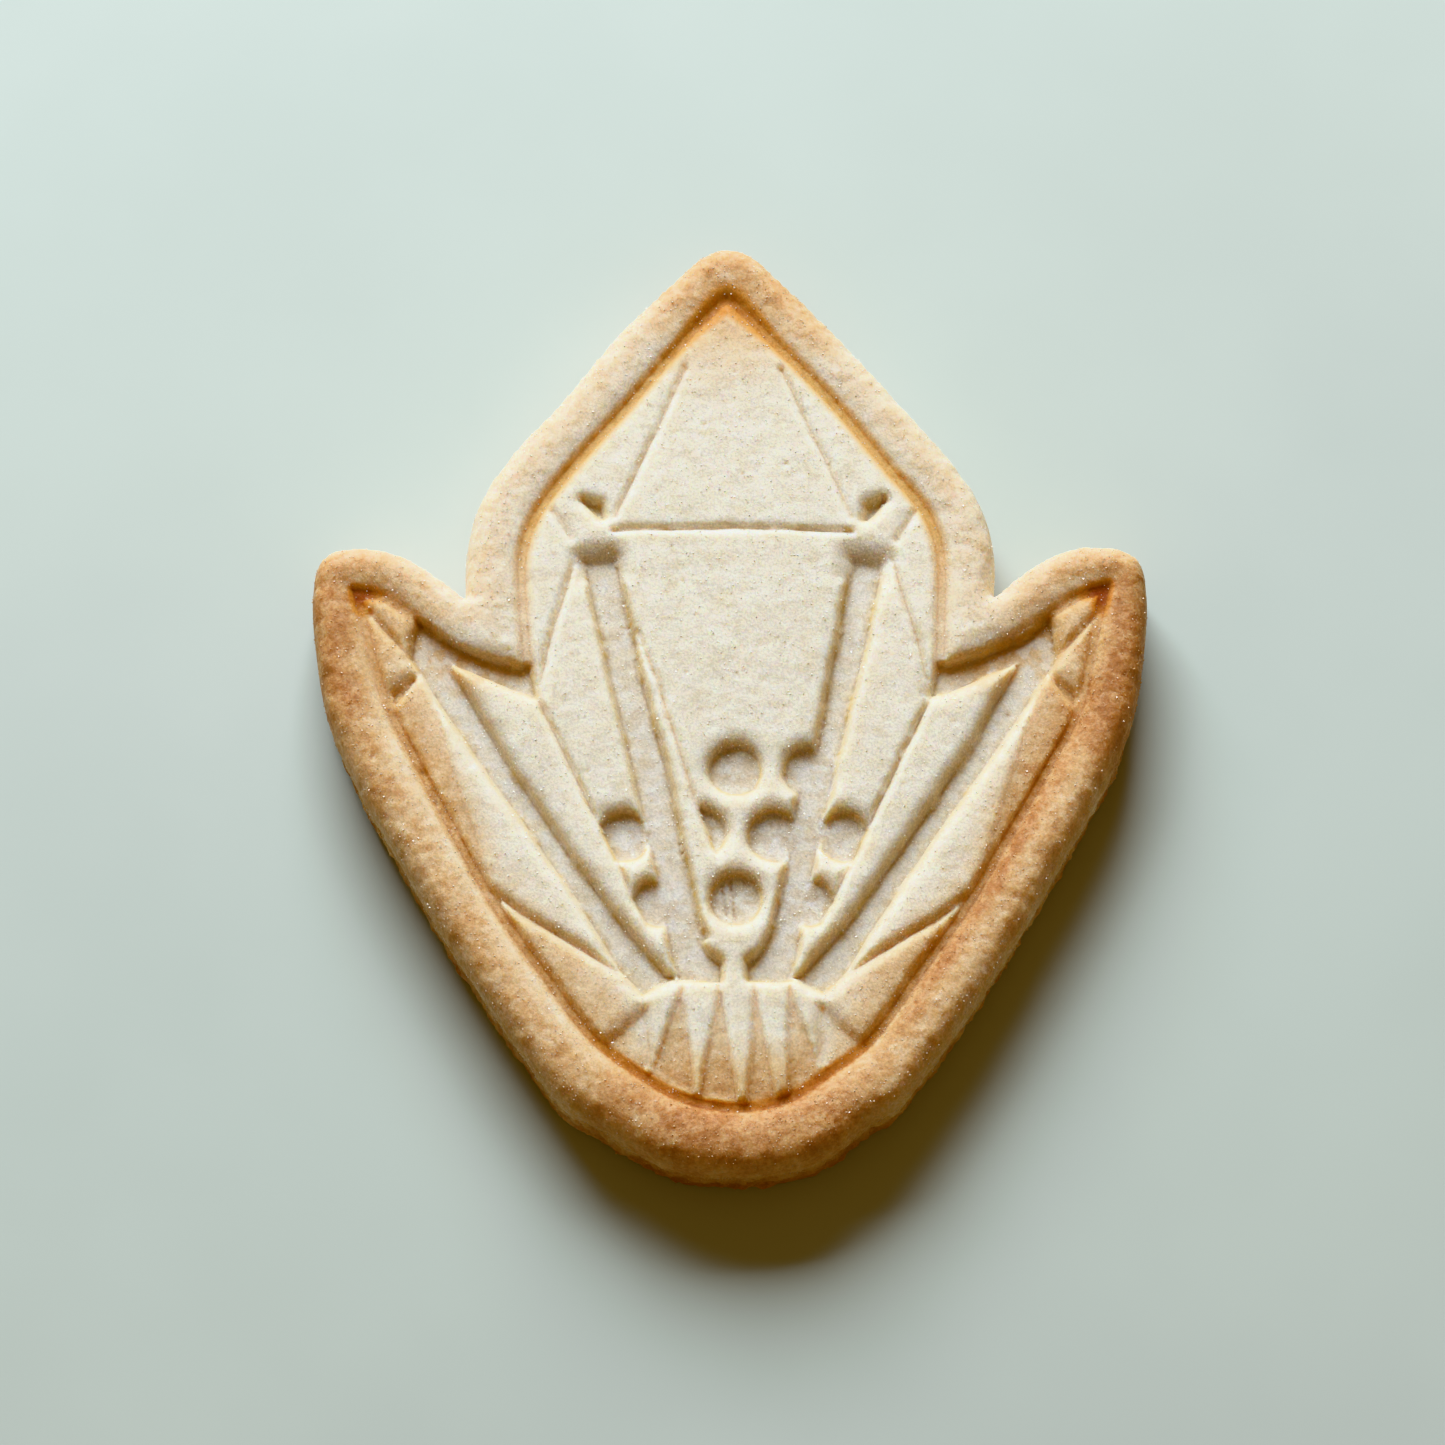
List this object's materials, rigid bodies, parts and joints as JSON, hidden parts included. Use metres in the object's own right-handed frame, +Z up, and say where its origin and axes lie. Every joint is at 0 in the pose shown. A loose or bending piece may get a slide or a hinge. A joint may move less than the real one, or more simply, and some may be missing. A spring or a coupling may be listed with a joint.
{
  "type": "corn-shaped sugar cookie",
  "caption": "Flat baked sugar cookie cut to the outline of a cob between two husk leaves, with a raised rim and a stamped figure of channels, creases and round dimples.",
  "frame": {"origin": "middle of the base, on the surface that the cookie lies on", "axes": "+Y from the foot of the husk to the tip of the cob, +Z up through the stamped face, +X to the right when the stamped face is seen with the tip at the top"},
  "size_m": [0.0754, 0.0882, 0.0085],
  "materials": {
    "baked_dough": "matte baked crust, pale on the stamped face and golden brown on the rim"
  },
  "bodies": {
    "root": {"cookie": "baked_dough"}
  },
  "joints": []
}
